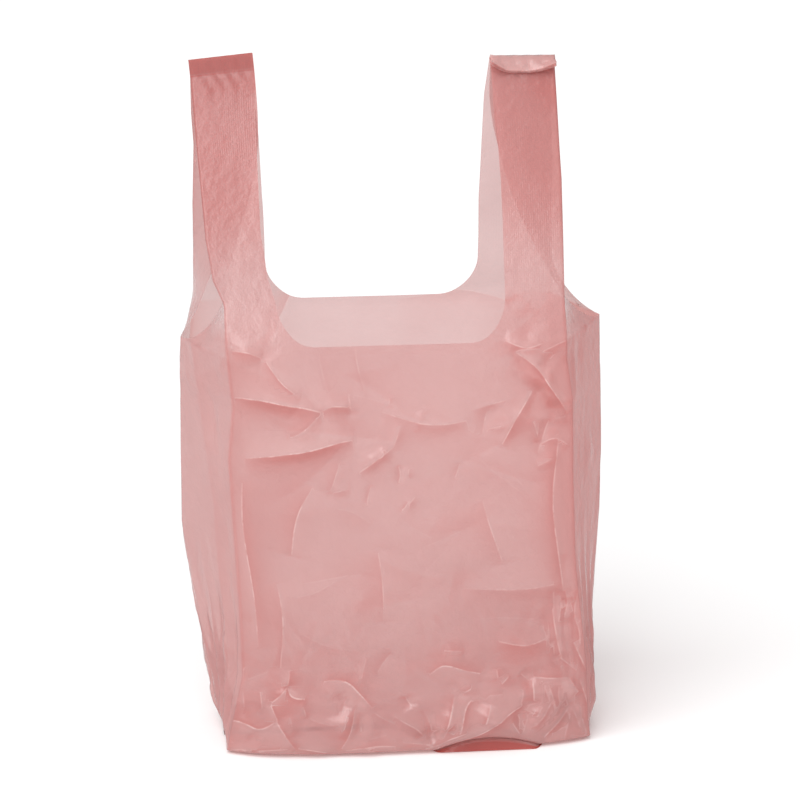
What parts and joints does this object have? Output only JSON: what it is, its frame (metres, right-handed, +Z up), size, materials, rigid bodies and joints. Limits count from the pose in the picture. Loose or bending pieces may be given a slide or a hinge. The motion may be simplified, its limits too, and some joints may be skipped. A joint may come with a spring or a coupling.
{
  "type": "nappy sack",
  "caption": "Thin translucent film sack with side gussets and tie handles, standing open on its gathered base.",
  "frame": {"origin": "on the ground, at the middle of the bottom seal", "axes": "+Z up out of the mouth, -Y the front panel, +X to the right seen from the front"},
  "size_m": [0.2265, 0.117, 0.3672],
  "materials": {
    "film": "translucent pink blown film, crinkled"
  },
  "bodies": {
    "root": {"sack": "film"}
  },
  "joints": []
}
